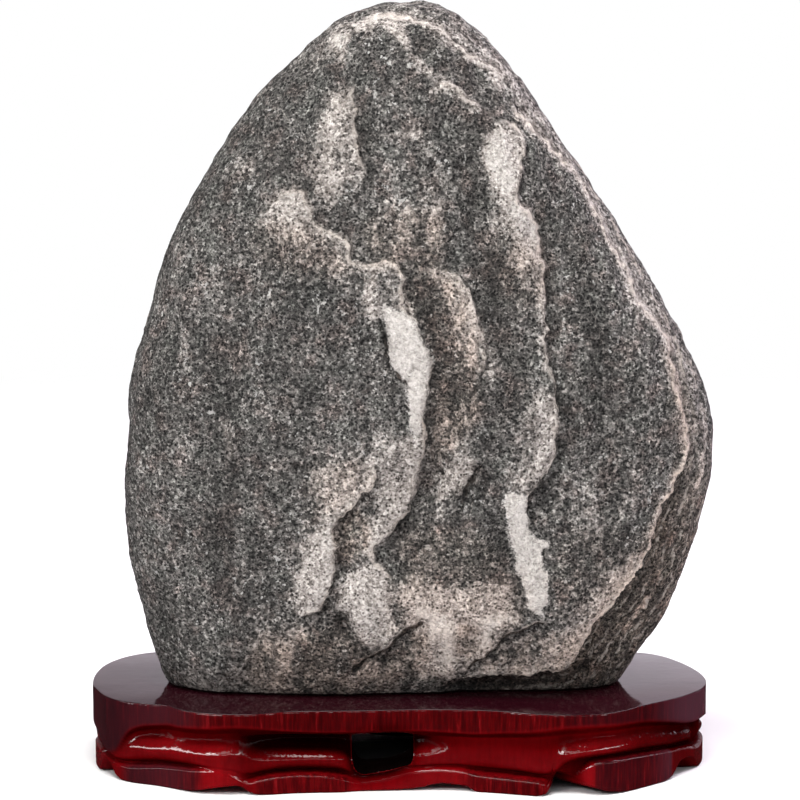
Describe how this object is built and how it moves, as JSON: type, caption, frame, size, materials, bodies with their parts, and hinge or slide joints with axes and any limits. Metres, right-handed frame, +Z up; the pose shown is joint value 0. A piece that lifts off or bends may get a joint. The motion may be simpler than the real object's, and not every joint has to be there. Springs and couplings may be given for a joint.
{
  "type": "scholars rock on a carved stand",
  "caption": "Mountain-shaped grey gneiss viewing stone with pale quartz veins, resting in the seat of a carved, red-lacquered wooden stand.",
  "frame": {"origin": "centre of the bounding box's bottom, on the surface the stand's feet rest on", "axes": "+Z up, +X to the right along the stone's face, +Y towards its back"},
  "size_m": [0.2497, 0.1096, 0.3065],
  "materials": {
    "grey_stone": "rough, granular, weathered",
    "red_lacquer": "clear gloss lacquer over red-stained wood"
  },
  "bodies": {
    "root": {"stone": "grey_stone", "stand": "red_lacquer"}
  },
  "joints": []
}
